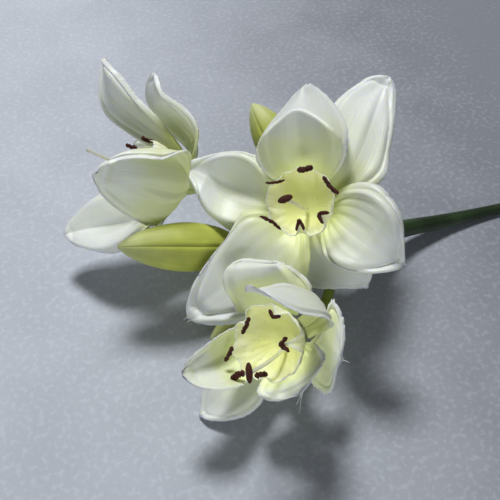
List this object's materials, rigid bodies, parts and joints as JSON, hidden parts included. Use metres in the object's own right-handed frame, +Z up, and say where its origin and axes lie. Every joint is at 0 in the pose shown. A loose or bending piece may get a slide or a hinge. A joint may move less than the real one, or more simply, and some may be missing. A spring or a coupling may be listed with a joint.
{
  "type": "amazon lily stem",
  "caption": "Cut stem of a white lily lying on its side, with open six-petalled flowers, pale toothed cups and green buds.",
  "frame": {"origin": "on the surface that the stem lies on, under the middle of the whole cut stem", "axes": "+X along the lying stem towards its cut end, +Z up from the surface"},
  "size_m": [0.3947, 0.1577, 0.0833],
  "materials": {
    "stem_green": "dark green plant skin, satin",
    "stalk_olive": "olive green plant skin, satin",
    "tube_green": "pale yellow-green plant skin, satin",
    "petal_white": "white petal, matt, green-yellow at the throat",
    "corona_pale": "pale yellow-green, waxy",
    "anther_brown": "dark red-brown pollen sacs, rough",
    "pistil_pale": "translucent cream, waxy",
    "bud_lime": "lime green bud skin, satin"
  },
  "bodies": {
    "root": {"stem": "stem_green", "flower_stalk_middle": "stalk_olive", "flower_tube_middle": "tube_green", "corona_middle": "corona_pale", "pistil_middle": "pistil_pale", "petal_middle_1": "petal_white", "petal_middle_2": "petal_white", "petal_middle_3": "petal_white", "petal_middle_4": "petal_white", "petal_middle_5": "petal_white", "petal_middle_6": "petal_white", "flower_stalk_left": "stalk_olive", "flower_tube_left": "tube_green", "corona_left": "corona_pale", "pistil_left": "pistil_pale", "petal_left_1": "petal_white", "petal_left_2": "petal_white", "petal_left_3": "petal_white", "petal_left_4": "petal_white", "petal_left_5": "petal_white", "petal_left_6": "petal_white", "flower_stalk_low": "stalk_olive", "flower_tube_low": "tube_green", "corona_low": "corona_pale", "pistil_low": "pistil_pale", "petal_low_1": "petal_white", "petal_low_2": "petal_white", "petal_low_3": "petal_white", "petal_low_4": "petal_white", "petal_low_5": "petal_white", "petal_low_6": "petal_white", "bud_stalk_left": "stalk_olive", "bud_left": "bud_lime", "bud_stalk_top": "stalk_olive", "bud_top": "bud_lime", "bud_stalk_low": "stalk_olive", "bud_low": "bud_lime"}
  },
  "joints": []
}
